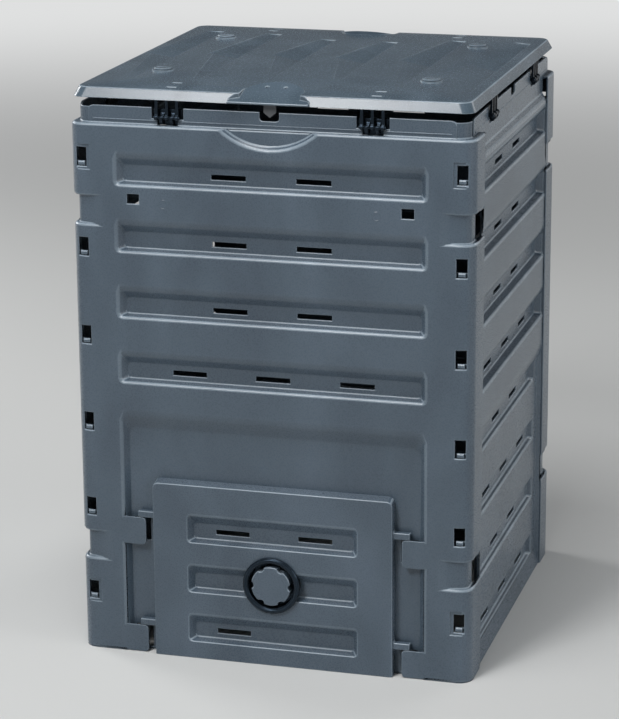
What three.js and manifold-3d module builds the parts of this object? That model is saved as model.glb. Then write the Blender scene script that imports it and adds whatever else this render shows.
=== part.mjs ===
import * as THREE from "three";
import { mergeVertices } from "three/addons/utils/BufferGeometryUtils.js";
import Module from "manifold-3d";

// Square compost bin of four moulded walls that hook together at the corners, with a lid on
// lift-out hinges and a hatch at the front for taking the compost out.
// Lengths are in millimetres. X runs to the right of the front, Y away from it and Z up.

const wasm = await Module();
wasm.setup();

// Body
const bodyHalf = 350;
const cornerRound = 24;
const shoulderHeight = 943;
const neckTall = 30;
const neckHeight = shoulderHeight + neckTall;
const neckSetback = 10;
const neckMargin = 33.5;
const neckHalf = bodyHalf - neckMargin;
const neckRound = 8;
const neckCornerShy = 2;
const neckCornerThick = 3.5;
const neckCornerRoot = 10;
const neckCornerGap = 0.8;
const neckCornerDrop = 3;
const wallThickness = 4;
const flangeWidth = 80;
const sideSetback = 2.6;
const bandDrop = 41;
const bandTall = 13;
const bandBottom = shoulderHeight - bandDrop;
const bandTop = bandBottom + bandTall;
const fitGap = 0.3;
const stripGap = 0.5;
const overrun = 5;
const wallBlockDepth = 60;

// Sunk field in the lower half
const fieldMargin = 81;
const fieldHalf = bodyHalf - fieldMargin;
const fieldSideSlope = 10;
const fieldBackHalf = fieldHalf - fieldSideSlope;
const fieldShare = 0.4655;
const fieldTop = shoulderHeight * fieldShare;
const fieldTopSlope = 29;
const fieldBackTop = fieldTop - fieldTopSlope;
const fieldRound = 14;
const frontFieldDeep = 16;
const plainFieldDeep = 7.4;
const fieldFootRise = 31;

// Long channels between the field and the shoulder, the same on all four walls
const longChannelVents = [2, 2, 2, 3];
const channelHeadroom = 102.8;
const channelFieldGap = 55.6;
const channelTop = shoulderHeight - channelHeadroom;
const channelPitch = (channelTop - fieldTop - channelFieldGap) / (longChannelVents.length - 1);
const channelTall = 50;
const channelDeep = 16;
const channelLedgeRise = 3.3;
const channelBackTop = 31.5;
const channelMargin = 81;
const channelHalf = bodyHalf - channelMargin;
const channelEndSlope = 10.1;
const channelBackHalf = channelHalf - channelEndSlope;
const channelRound = 6;

// Short channels in the field of a plain wall
const shortChannelVents = [2, 3, 2, 3];
const shortChannelDrop = 59.6;
const shortChannelFoot = 33.8;
const shortChannelTop = fieldTop - shortChannelDrop;
const shortChannelPitch = (shortChannelTop - shortChannelFoot) / (shortChannelVents.length - 1);
const shortChannelMargin = 40;
const shortChannelHalf = fieldHalf - shortChannelMargin;
const shortChannelEndSlope = 10;
const shortChannelBackHalf = shortChannelHalf - shortChannelEndSlope;
const shortChannelTall = 40;

// Vents in the channels
const ventLength = 60;
const ventTall = 8.5;
const ventRise = 17.4;
const ventPairShare = 0.275;
const ventOuterShare = 0.55;
const ventPairPlace = channelHalf * ventPairShare;
const ventOuterPlace = channelHalf * ventOuterShare;

// Corner slots and the hooks of the side walls in them
const slotFirst = 108;
const slotHeadroom = 58;
const slotCount = 6;
const slotPitch = (shoulderHeight - slotHeadroom - slotFirst) / (slotCount - 1);
const slotMargin = 21.2;
const slotPlace = bodyHalf - slotMargin;
const slotWide = 18;
const slotTall = 32;
const slotFrameWide = 30;
const slotFrameTall = 43;
const slotFrameDeep = 2.2;
const hookTall = 8;
const hookRest = 0.5;
const hookWide = 12.5;
const hookShy = 2.4;
const stripDrop = 38;
const stripTop = shoulderHeight - stripDrop;

// Corner pockets, placed between slots by a share of the slots' pitch
const pocketShares = [0.5476, 4.413];
const pocketTall = 48.6;
const pocketBottoms = pocketShares.map((share) => slotFirst + share * slotPitch - pocketTall / 2);
const pocketDeep = 8.5;
const pocketWide = 50;
const pocketWrap = 45;
const pocketStart = bodyHalf - pocketWide;
const pocketFlangeEnd = bodyHalf - pocketWrap;

// Grip under the shoulder and the square holes
const gripHalf = 86;
const gripDrop = 33;
const gripDeep = 8;
const gripStep = 6;
const squareHoleWide = 21;
const squareHoleTall = 16.5;
const squareHoleMargin = 112;
const squareHolePlace = bodyHalf - squareHoleMargin;
const squareHoleDrop = 23.6;
const squareHoleHeight = channelTop - squareHoleDrop;

// Notches in the neck
const hingeShare = 0.505;
const hingePlace = bodyHalf * hingeShare;
const notchWide = 55;
const notchDeep = 19;
const notchBottom = neckHeight - notchDeep;
const jawNotchWide = 36;
const latchNotchWide = 33.6;
const latchNotchDeep = 15;
const latchNotchBottom = neckHeight - latchNotchDeep;
const latchNotchRound = 5;
const beadRise = 7;
const beadHeight = shoulderHeight + beadRise;
const beadTall = 2;
const beadProud = 0.8;

// Doorway behind the hatch, and the hooks that the hatch hangs on
const doorMargin = 79;
const doorHalf = fieldHalf - doorMargin;
const doorSill = 22;
const doorTop = 295;
const doorRound = 12;
const hatchHookLength = 40;
const hatchHookReach = fieldHalf - hatchHookLength;
const hatchHookThick = 5;
const hatchHookTall = 49;
const hatchHookBottoms = [1, 201];
const hatchHookRound = 6;
const hookWindowMargin = 4;

// Hatch
const hatchMargin = 55;
const hatchHalf = fieldHalf - hatchMargin;
const hatchTall = 318;
const hatchProud = 5;
const hatchBackGap = 0.5;
const hatchDraft = 4;
const hatchTopRound = 9;
const hatchFootRound = 2;
const hatchThickness = 3.5;
const hatchChannelTop = 214;
const hatchChannelPitch = 91.3;
const hatchChannelMargin = 62;
const hatchChannelHalf = hatchHalf - hatchChannelMargin;
const hatchChannelEndSlope = 9;
const hatchChannelBackHalf = hatchChannelHalf - hatchChannelEndSlope;
const hatchVents = [[-1, 1], [], [-1]];
const tabLength = 29;
const tabReach = hatchHalf + tabLength;
const tabTall = 11.5;
const tabRestGap = 0.5;
const tabArmDrop = 27;
const tabArmWide = 12.5;
const tabArmInner = tabReach - tabArmWide;
const tabFaceShy = 0.6;
const tabArmGap = 0.8;
const tabBackGap = 4;
const tabRoot = 5;

// Turning knob
const knobHeight = 149;
const collarRadius = 51;
const collarProud = 8;
const collarInner = 41;
const collarRound = 3;
const sleeveRadius = 46.5;
const sleeveEnd = 16;
const sleeveFloor = 3;
const knobRadius = 35;
const knobShy = 0.5;
const knobNotchRadius = 7;
const knobNotchPlace = 37.5;
const knobLobes = 6;
const knobFloorGap = 1;
const spindleRadius = 6;
const spindleGap = 0.3;
const armClear = 0.8;
const armThick = 5;
const armWide = 22;
const armReach = 160;
const armEyeRadius = 14;
const clipThick = 2;
const clipRadius = 9;
const spindleTail = 1.5;

// Lid
const lidMargin = 4;
const lidRimHalf = bodyHalf - lidMargin;
const lidClear = 13;
const lidRimHeight = neckHeight + lidClear;
const lidSkirtSlope = 8;
const lidEdgeHalf = lidRimHalf - lidSkirtSlope;
const lidSkirtTall = 17;
const lidEdgeHeight = lidRimHeight + lidSkirtTall;
const lidCrownSteps = [[38, 2.5], [138, 5], [238, 6]];
const lidRound = 20;
const lidThickness = 4;
const fluteLeftMargin = 74;
const fluteRightMargin = 20;
const fluteEndMargins = [83, 96, 142, 142, 96, 83];
const fluteFrontWide = 14;
const fluteMiddleWide = 56;
const fluteStepWide = 66;
const fluteRearWide = 30;
const fluteEndDeep = 2;
const fluteMiddleDeep = 10;
const fluteStep = 1;
const fluteRoof = 20;
const gripPlateRadius = 60;
const gripPlateHalf = 52;
const gripPlateMargin = 62;
const gripPlateEnd = lidEdgeHalf - gripPlateMargin;
const gripPlateRise = 10;
const gripPlateTop = lidEdgeHeight + gripPlateRise;
const gripLipLength = 6;
const gripLipReach = lidRimHalf + gripLipLength;
const gripLipHalf = 70;
const gripLipRise = 4.5;
const gripLipTop = lidRimHeight + gripLipRise;
const gripLipFoot = 1;
const gripLipBottom = lidRimHeight + gripLipFoot;
const gripFlareMargin = 1;
const gripFlareBend = 9;
const gripFlareDepth = 2;
const gripFlareReach = 5.5;
const gripHoleRadius = 3;
const gripHolePlace = 16;
const gripHoleMargin = 43;
const gripHoleDepthPlace = lidEdgeHalf - gripHoleMargin;
const lugSlotWide = 16;
const lugSlotTall = 6;
const lugSlotMargins = [52, 19];
const plugMarginX = 101;
const plugMarginY = 157;
const plugPlaceX = lidEdgeHalf - plugMarginX;
const plugPlaceY = lidEdgeHalf - plugMarginY;
const plugRadius = 15.5;
const plugTall = 3.2;
const plugRound = 1.2;
const plugStemRadius = 6;
const plugStemLength = 12;
const plugSlotWide = 3;
const plugSlotDeep = 1.4;
const plugSlotHalf = 11;
const bossRadius = 19;
const bossRise = 6.5;
const bossSunk = 1;
const bossTop = lidEdgeHeight + bossRise;
const bossRoot = lidEdgeHeight - bossSunk;

// Hinges: a clip on the neck with two open cups, and a rod in a bracket under the lid
const rodMargin = 5;
const rodOut = bodyHalf - rodMargin;
const rodDrop = 16;
const rodHeight = neckHeight - rodDrop;
const rodRadius = 3;
const rodHalfLength = 23;
const cupInner = 3.5;
const cupLipRise = 1.5;
const jawShy = 0.4;
const jawOuter = bodyHalf - jawShy;
const jawFootRise = 3;
const jawFoot = shoulderHeight + jawFootRise;
const jawShoulderRise = 6;
const jawPlace = 9;
const jawThick = 5;
const clipHalf = 25;
const clipPlate = 4;
const clipPlateDrop = 3;
const clipPlateTop = neckHeight - clipPlateDrop;
const lugPlaces = [-18, 0, 18];
const lugThick = 5;
const lugEye = 4.6;
const lugHoleGap = 0.1;
const lugInset = 3.8;
const lugInner = rodOut - lugInset;
const lugOutset = 0.2;
const lugOuter = rodOut + lugOutset;
const lugKneeDrop = 8;
const lugKnee = lidRimHeight - lugKneeDrop;
const bracketThick = 3;
const bracketHalf = 23;
const bracketLength = 58;
const bracketShortLength = 13;
const bracketBack = lidEdgeHalf - bracketLength;
const bracketShortBack = lidEdgeHalf - bracketShortLength;
const bracketNearMargin = 10;
const bracketNear = lidEdgeHalf - bracketNearMargin;
const bracketEdgeMargin = 4.6;
const bracketEdge = lidEdgeHalf - bracketEdgeMargin;
const bracketRimMargin = 6.6;
const bracketRim = lidRimHalf - bracketRimMargin;
const bracketKneeSlope = 2.4;
const bracketKnee = bracketRim - bracketKneeSlope;
const pegShy = 0.5;
const pegTop = lidEdgeHeight - pegShy;

// Latch tongues under the lid
const tongueWide = 22;
const tongueGap = 2.4;
const tongueInner = bodyHalf - neckSetback - wallThickness - tongueGap;
const tongueThick = 3;
const tongueDrop = 10;
const tongueTip = neckHeight - tongueDrop;
const tonguePoint = 9;
const tongueFootLength = 12;

// Fineness of the curves
const cornerSteps = 4;
const smallSteps = 2;
const roundSteps = 32;
const smallRoundSteps = 12;
const gripSteps = 16;

// Colours
const slate = 0x53606c;
const slateLid = 0x4f5c69;
const black = 0x0d0e10;
const slateGrey = 0x5d6063;

// Places worked out from the sizes above
const frontFace = -bodyHalf;
const neckFace = frontFace + neckSetback;
const neckBack = neckFace + wallThickness;
const flangeEnd = bodyHalf - flangeWidth;
const panelHalf = flangeEnd - stripGap;
const sideFace = frontFace + sideSetback;
const stripFace = frontFace + wallThickness + stripGap;
const frontFieldFloor = frontFace + frontFieldDeep;
const hatchFace = frontFace - hatchProud;
const hatchBack = frontFieldFloor - hatchBackGap;
const collarFace = hatchFace - collarProud;
const lidCrown = lidCrownSteps.map(([inside, rise]) => [lidEdgeHalf - inside, lidEdgeHeight + rise]);
const fluteSpan = 2 * lidEdgeHalf - fluteLeftMargin - fluteRightMargin;
const flutePitch = fluteSpan / (fluteEndMargins.length - 1);
const fluteEnds = fluteEndMargins.map((margin) => lidEdgeHalf - margin);
const flutePlaces = fluteEnds.map((_, row) => fluteLeftMargin - lidEdgeHalf + row * flutePitch);
const lugSlotPlaces = lugSlotMargins.map((margin) => lidEdgeHalf - margin);
const frontReach = -collarFace;
const frameShift = (frontReach - gripLipReach) / 2;
const jointGap = fitGap;

const axisX = new THREE.Vector3(1, 0, 0);
const axisY = new THREE.Vector3(0, 1, 0);
const axisZ = new THREE.Vector3(0, 0, 1);

// Solids and their outlines

function toSolid(geometry) {
  const bare = geometry.clone();
  bare.deleteAttribute("uv");
  bare.deleteAttribute("normal");
  const merged = mergeVertices(bare);
  const mesh = new wasm.Mesh({
    numProp: 3,
    vertProperties: new Float32Array(merged.attributes.position.array),
    triVerts: new Uint32Array(merged.index.array),
  });
  return new wasm.Manifold(mesh);
}

function join(solids) {
  return solids.reduce((whole, solid) => whole.add(solid));
}

function cut(solid, tools) {
  return tools.reduce((left, tool) => left.subtract(tool), solid);
}

function extrude(points, across, up, along, start, end) {
  const shape = new THREE.Shape(points.map(([a, b]) => new THREE.Vector2(a, b)));
  const options = { depth: end - start, bevelEnabled: false, curveSegments: 1 };
  const geometry = new THREE.ExtrudeGeometry(shape, options);
  geometry.translate(0, 0, start);
  geometry.applyMatrix4(new THREE.Matrix4().makeBasis(across, up, along));
  return toSolid(geometry);
}

// Outline in plan, raised from one height to another
function raised(points, low, high) {
  return extrude(points, axisX, axisY, axisZ, low, high);
}

// Outline seen from the front, from a near depth to a far one
function deepened(points, near, far) {
  return extrude(points, axisX, axisZ, axisY.clone().negate(), -far, -near);
}

// Outline seen from the side as depth and height, drawn out from left to right
function drawn(points, left, right) {
  return extrude(points, axisY, axisZ, axisX, left, right);
}

function box(left, right, near, far, low, high) {
  const geometry = new THREE.BoxGeometry(right - left, far - near, high - low);
  geometry.translate((left + right) / 2, (near + far) / 2, (low + high) / 2);
  return toSolid(geometry);
}

// Cylinder along the depth
function discAlongY(x, z, radius, near, far, steps = roundSteps) {
  const geometry = new THREE.CylinderGeometry(radius, radius, far - near, steps);
  geometry.translate(x, (near + far) / 2, z);
  return toSolid(geometry);
}

// Upright cylinder
function discAlongZ(x, y, radius, low, high, steps = roundSteps) {
  const geometry = new THREE.CylinderGeometry(radius, radius, high - low, steps);
  geometry.rotateX(Math.PI / 2);
  geometry.translate(x, y, (low + high) / 2);
  return toSolid(geometry);
}

// Cylinder along the wall
function discAlongX(y, z, radius, left, right, steps = smallRoundSteps) {
  const geometry = new THREE.CylinderGeometry(radius, radius, right - left, steps);
  geometry.rotateZ(Math.PI / 2);
  geometry.translate((left + right) / 2, y, z);
  return toSolid(geometry);
}

function arc(centreX, centreY, radius, start, end, steps) {
  const points = [];
  for (let step = 0; step <= steps; step += 1) {
    const angle = start + ((end - start) * step) / steps;
    points.push([centreX + radius * Math.cos(angle), centreY + radius * Math.sin(angle)]);
  }
  return points;
}

// Rectangle with its own rounding for the lower and the upper corners
function roundedRect(left, right, low, high, lowRound, highRound, steps = smallSteps) {
  const quarter = Math.PI / 2;
  return [
    ...arc(right - lowRound, low + lowRound, lowRound, -quarter, 0, steps),
    ...arc(right - highRound, high - highRound, highRound, 0, quarter, steps),
    ...arc(left + highRound, high - highRound, highRound, quarter, 2 * quarter, steps),
    ...arc(left + lowRound, low + lowRound, lowRound, 2 * quarter, 3 * quarter, steps),
  ];
}

// Solid through rings of points, each ring with as many points as the others
function loft(rings) {
  const count = rings[0].length;
  const positions = rings.flat(2);
  const triangles = [];
  for (let ring = 0; ring + 1 < rings.length; ring += 1) {
    for (let place = 0; place < count; place += 1) {
      const next = (place + 1) % count;
      const here = ring * count;
      const there = here + count;
      triangles.push([here + place, here + next, there + next]);
      triangles.push([here + place, there + next, there + place]);
    }
  }
  const last = (rings.length - 1) * count;
  for (let place = 1; place + 1 < count; place += 1) {
    triangles.push([0, place + 1, place]);
    triangles.push([last, last + place, last + place + 1]);
  }
  const inward = volumeOf(positions, triangles) < 0;
  const index = triangles.flatMap(([a, b, c]) => (inward ? [a, c, b] : [a, b, c]));
  const geometry = new THREE.BufferGeometry();
  geometry.setAttribute("position", new THREE.Float32BufferAttribute(positions, 3));
  geometry.setIndex(index);
  return toSolid(geometry);
}

function volumeOf(positions, triangles) {
  const corner = (index) => new THREE.Vector3().fromArray(positions, index * 3);
  let volume = 0;
  for (const [a, b, c] of triangles) {
    volume += corner(a).dot(corner(b).cross(corner(c))) / 6;
  }
  return volume;
}

// Sunk shape in a wall: a rounded outline at the face that tapers to another at its floor
function sunk(rim, floor, face, deep, lowRound, highRound) {
  const ring = (edge, y) =>
    roundedRect(-edge.half, edge.half, edge.low, edge.high, lowRound, highRound).map(
      ([x, z]) => [x, y, z],
    );
  return loft([ring(rim, face - overrun), ring(rim, face), ring(floor, face + deep)]);
}

// The same sunk shape and the larger one that keeps the wall's thickness behind it
function sunkPair(rim, floor, face, deep, lowRound, highRound, thickness) {
  const grow = (edge) => ({
    half: edge.half + thickness,
    low: edge.low - thickness,
    high: edge.high + thickness,
  });
  return {
    shape: sunk(rim, floor, face, deep, lowRound, highRound),
    backing: sunk(
      grow(rim),
      grow(floor),
      face,
      deep + thickness,
      lowRound + thickness,
      highRound + thickness,
    ),
  };
}

// Vents of one channel

function ventPlaces(count) {
  return count === 2 ? [-ventPairPlace, ventPairPlace] : [-ventOuterPlace, 0, ventOuterPlace];
}

function vent(place, channelLow, face) {
  const middle = channelLow + ventRise;
  return box(
    place - ventLength / 2,
    place + ventLength / 2,
    face,
    face + channelDeep + wallBlockDepth,
    middle - ventTall / 2,
    middle + ventTall / 2,
  );
}

// Channels and sunk field of one wall, as shapes to take from the outer and the inner block
function wallFeatures(face, rimHalf, fieldDeep, plainField) {
  const pairs = [];
  const vents = [];
  longChannelVents.forEach((count, row) => {
    const low = channelTop - row * channelPitch;
    const rim = { half: rimHalf, low, high: low + channelTall };
    const floor = { half: channelBackHalf, low: low + channelLedgeRise, high: low + channelBackTop };
    pairs.push(
      sunkPair(rim, floor, face, channelDeep, channelRound, channelRound, wallThickness),
    );
    ventPlaces(count).forEach((place) => vents.push(vent(place, low, face)));
  });
  const fieldLow = plainField ? 0 : -overrun - fieldRound;
  const fieldRim = { half: rimHalf, low: fieldLow, high: fieldTop };
  const fieldFloor = {
    half: fieldBackHalf,
    low: plainField ? fieldLow + fieldFootRise : fieldLow,
    high: fieldBackTop,
  };
  pairs.push(
    sunkPair(fieldRim, fieldFloor, face, fieldDeep, channelRound, fieldRound, wallThickness),
  );
  if (plainField) {
    shortChannelVents.forEach((count, row) => {
      const low = shortChannelTop - row * shortChannelPitch;
      const rim = { half: shortChannelHalf, low, high: low + shortChannelTall };
      const floor = {
        half: shortChannelBackHalf,
        low: low + channelLedgeRise,
        high: low + channelBackTop,
      };
      const deep = channelDeep - fieldDeep;
      const fieldFace = face + fieldDeep;
      pairs.push(
        sunkPair(rim, floor, fieldFace, deep, channelRound, channelRound, wallThickness),
      );
      ventPlaces(count).forEach((place) => vents.push(vent(place, low, fieldFace)));
    });
  }
  return { pairs, vents };
}

// Notches of the two hinges and of the latch, as openings in the neck
function neckNotches() {
  const near = neckFace - overrun;
  const far = neckBack + overrun;
  const above = neckHeight + overrun;
  const notches = [-hingePlace, hingePlace].flatMap((place) => [
    box(place - notchWide / 2, place + notchWide / 2, near, far, notchBottom, above),
    box(
      place - jawNotchWide / 2,
      place + jawNotchWide / 2,
      near,
      far,
      shoulderHeight,
      notchBottom + overrun,
    ),
  ]);
  const latch = roundedRect(
    -latchNotchWide / 2,
    latchNotchWide / 2,
    latchNotchBottom,
    above,
    latchNotchRound,
    fitGap,
  );
  notches.push(deepened(latch, near, far));
  return notches;
}

function neckStrip(low) {
  const outline = roundedRect(-neckHalf, neckHalf, low, neckHeight, fitGap, neckRound);
  return deepened(outline, neckFace, neckBack);
}

// Quarter ring behind the end of a neck strip, which closes the neck at the corner
function neckCorner(low) {
  const outer = neckMargin - neckSetback - neckCornerShy;
  const inner = outer - neckCornerThick;
  const end = 2 * Math.PI - neckCornerGap / inner;
  const root = neckHalf - neckCornerRoot;
  const plan = [
    [root, -neckHalf - inner],
    [root, -neckHalf - outer],
    ...arc(neckHalf, -neckHalf, outer, 1.5 * Math.PI, end, cornerSteps),
    ...arc(neckHalf, -neckHalf, inner, end, 1.5 * Math.PI, cornerSteps),
  ];
  return raised(plan, low, neckHeight - neckCornerDrop);
}

function neckBead() {
  const low = beadHeight - beadTall / 2;
  const half = neckHalf - neckRound;
  return box(-half, half, neckFace - beadProud, neckFace + beadProud, low, low + beadTall);
}

// Corner wall: the front or rear wall, which wraps round both corners of the body

function cornerPlan(inset, end) {
  const half = bodyHalf - inset;
  const round = cornerRound - inset;
  const centre = bodyHalf - cornerRound;
  return [
    ...arc(-centre, -centre, round, Math.PI, 1.5 * Math.PI, cornerSteps),
    ...arc(centre, -centre, round, 1.5 * Math.PI, 2 * Math.PI, cornerSteps),
    [half, -end],
    [-half, -end],
  ];
}

// What a pocket takes off the right-hand corner; the inset gives the surface behind it
function pocketPlan(inset) {
  const centre = bodyHalf - cornerRound;
  const round = cornerRound - pocketDeep - inset;
  const outside = bodyHalf + overrun;
  return [
    [outside, -outside],
    [outside, -pocketFlangeEnd + inset],
    [bodyHalf - pocketDeep - inset, -pocketFlangeEnd + inset],
    ...arc(centre, -centre, round, 2 * Math.PI, 1.5 * Math.PI, cornerSteps),
    [pocketStart - inset, frontFace + inset],
    [pocketStart - inset, -outside],
  ];
}

function mirrored(solid) {
  return solid.mirror([1, 0, 0]);
}

function bothSides(solid) {
  return [solid, mirrored(solid)];
}

function gripRecess(thickness) {
  const radius = (gripHalf * gripHalf + gripDrop * gripDrop) / (2 * gripDrop);
  const centre = shoulderHeight - gripDrop + radius;
  const ring = (size, y) =>
    arc(0, centre, size + thickness, 0, 2 * Math.PI, 3 * gripSteps)
      .slice(1)
      .map(([x, z]) => [x, y, z]);
  const far = frontFace + gripDeep + thickness;
  const cone = loft([
    ring(radius, frontFace - overrun),
    ring(radius, frontFace),
    ring(radius - gripStep, far),
  ]);
  const width = gripHalf + thickness + overrun;
  const top = thickness > 0 ? shoulderHeight - wallThickness : shoulderHeight + overrun;
  const window = box(-width, width, frontFace - 2 * overrun, far + overrun, 0, top);
  return cone.intersect(window);
}

function cornerSlots() {
  const tools = [];
  for (let row = 0; row < slotCount; row += 1) {
    const middle = slotFirst + row * slotPitch;
    const left = slotPlace - slotWide / 2;
    const low = middle - slotTall / 2;
    const far = frontFace + wallThickness + overrun;
    const near = frontFace - overrun;
    tools.push(box(left, left + slotWide, near, far, low, low + slotTall));
    if (row === 0 || row === slotCount - 1) {
      const frameLeft = slotPlace - slotFrameWide / 2;
      const frameLow = middle - slotFrameTall / 2;
      const depth = frontFace + slotFrameDeep;
      tools.push(
        box(frameLeft, frameLeft + slotFrameWide, near, depth, frameLow, frameLow + slotFrameTall),
      );
    }
  }
  return tools.flatMap(bothSides);
}

function cornerWall(isFront) {
  const fieldDeep = isFront ? frontFieldDeep : plainFieldDeep;
  const { pairs, vents } = wallFeatures(frontFace, channelHalf, fieldDeep, !isFront);
  const pockets = pocketBottoms.flatMap((low) => {
    const high = low + pocketTall;
    return bothSides(raised(pocketPlan(0), low, high));
  });
  const pocketBacks = pocketBottoms.flatMap((low) => {
    const high = low + pocketTall + wallThickness;
    return bothSides(raised(pocketPlan(wallThickness), low - wallThickness, high));
  });
  const outer = cut(raised(cornerPlan(0, flangeEnd), 0, shoulderHeight), [
    ...pairs.map((pair) => pair.shape),
    ...pockets,
    gripRecess(0),
  ]);
  const ceiling = shoulderHeight - wallThickness;
  const inner = cut(raised(cornerPlan(wallThickness, flangeEnd - overrun), -overrun, ceiling), [
    ...pairs.map((pair) => pair.backing),
    ...pocketBacks,
    gripRecess(wallThickness),
  ]);
  const mouthHalf = -neckBack;
  const mouthRound = mouthHalf - neckHalf;
  const mouth = raised(
    roundedRect(-mouthHalf, mouthHalf, neckBack, 0, mouthRound, fitGap, cornerSteps),
    ceiling - overrun,
    shoulderHeight + overrun,
  );
  let wall = cut(outer, [inner, mouth]);
  wall = join([wall, neckStrip(ceiling), neckBead(), ...bothSides(neckCorner(ceiling))]);
  wall = cut(wall, [...vents, ...neckNotches(), ...cornerSlots(), ...pocketWindows()]);
  return isFront ? frontDetails(wall) : wall;
}

// Openings in the flanges beside the pockets
function pocketWindows() {
  const near = -pocketFlangeEnd;
  const left = bodyHalf - pocketDeep - wallThickness;
  return pocketBottoms.flatMap((low) =>
    bothSides(
      box(left, bodyHalf + overrun, near, -flangeEnd + overrun, low, low + pocketTall),
    ),
  );
}

function hatchHooks() {
  return hatchHookBottoms.flatMap((low) => {
    const outline = roundedRect(
      hatchHookReach,
      fieldHalf + overrun,
      low,
      low + hatchHookTall,
      hatchHookRound,
      hatchHookRound,
    );
    return bothSides(deepened(outline, frontFace, frontFace + hatchHookThick));
  });
}

function hookWindows() {
  return hatchHookBottoms.flatMap((low) =>
    bothSides(
      box(
        hatchHookReach - hookWindowMargin,
        fieldBackHalf - hookWindowMargin,
        frontFieldFloor - overrun,
        frontFieldFloor + wallThickness + overrun,
        low + hookWindowMargin,
        low + hatchHookTall - hookWindowMargin,
      ),
    ),
  );
}

function frontDetails(wall) {
  const far = frontFieldFloor + wallThickness + overrun;
  const doorway = roundedRect(-doorHalf, doorHalf, doorSill, doorTop, doorRound, doorRound);
  const squareLow = squareHoleHeight - squareHoleTall / 2;
  const squareLeft = squareHolePlace - squareHoleWide / 2;
  const squares = bothSides(
    box(
      squareLeft,
      squareLeft + squareHoleWide,
      frontFace - overrun,
      frontFace + wallThickness + overrun,
      squareLow,
      squareLow + squareHoleTall,
    ),
  );
  const opened = cut(wall, [
    deepened(doorway, frontFieldFloor - overrun, far),
    ...hookWindows(),
    ...squares,
  ]);
  return join([opened, ...hatchHooks()]);
}

// Side wall, drawn as a front wall and turned into place

function sideProfile(inset, low, high, back) {
  return [
    [sideFace + inset, low],
    [back, low],
    [back, high],
    [neckFace + inset, high],
    [neckFace + inset, bandTop],
    [sideFace + inset, bandBottom],
  ];
}

// Hook at the end of a side wall, in plan: a quarter ring round the corner and a tab
function sideHook(middle) {
  const centre = bodyHalf - cornerRound;
  const outer = -stripFace - centre;
  const inner = outer - wallThickness;
  const low = middle - slotTall / 2 + hookRest;
  const high = low + hookTall;
  const ring = [
    ...arc(centre, -centre, outer, 1.5 * Math.PI, 2 * Math.PI, cornerSteps),
    ...arc(centre, -centre, inner, 2 * Math.PI, 1.5 * Math.PI, cornerSteps),
  ];
  const tabFar = -slotPlace + hookWide / 2;
  const tab = box(
    centre + inner,
    bodyHalf - hookShy,
    tabFar - hookWide,
    tabFar,
    low,
    high,
  );
  return raised(ring, low, high).add(tab);
}

function sideWall() {
  const { pairs, vents } = wallFeatures(sideFace, panelHalf + fitGap, plainFieldDeep, true);
  const back = sideFace + wallBlockDepth;
  const beyond = back + overrun;
  const centre = bodyHalf - cornerRound;
  const panel = drawn(sideProfile(0, 0, neckHeight, back), -panelHalf, panelHalf);
  const ends = box(-centre, centre, stripFace, back, 0, stripTop);
  const outer = cut(join([panel, ends]), pairs.map((pair) => pair.shape));
  const rootHalf = panelHalf - wallThickness;
  const farHalf = centre + overrun;
  const behind = sideProfile(wallThickness, -overrun, neckHeight + overrun, beyond);
  const stripBack = stripFace + wallThickness;
  const inner = cut(
    join([
      drawn(behind, -rootHalf, rootHalf),
      ...bothSides(box(rootHalf, farHalf, stripBack, beyond, -overrun, stripTop + fitGap)),
      box(-farHalf, farHalf, neckBack, beyond, stripTop, neckHeight + overrun),
    ]),
    pairs.map((pair) => pair.backing),
  );
  const windows = pocketBottoms.flatMap((low) => {
    const clear = wallThickness + stripGap;
    const high = low + pocketTall + clear;
    return bothSides(box(panelHalf, farHalf, sideFace, beyond, low - clear, high));
  });
  const hooks = [];
  for (let row = 0; row < slotCount; row += 1) {
    hooks.push(...bothSides(sideHook(slotFirst + row * slotPitch)));
  }
  const shell = cut(outer, [inner, ...windows]);
  const upper = [neckStrip(shoulderHeight + fitGap), neckBead()];
  return cut(join([shell, ...upper, ...hooks]), [...vents, ...neckNotches()]);
}

// Hatch

function hatchRing(inset, y, rise) {
  const outline = roundedRect(
    -hatchHalf + inset,
    hatchHalf - inset,
    inset,
    hatchTall + rise - inset,
    hatchFootRound,
    hatchTopRound,
  );
  return outline.map(([x, z]) => [x, y, z]);
}

function hatchTabs() {
  const armNear = frontFace + hatchHookThick + tabArmGap;
  const armFar = frontFieldFloor - tabBackGap;
  return hatchHookBottoms.flatMap((hookLow) => {
    const low = hookLow + hatchHookTall + tabRestGap;
    const high = low + tabTall;
    const root = hatchHalf - tabRoot;
    const bar = box(root, tabReach, frontFace + tabFaceShy, armFar, low, high);
    const arm = box(tabArmInner, tabReach, armNear, armFar, low - tabArmDrop, high);
    return bothSides(bar.add(arm));
  });
}

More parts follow.
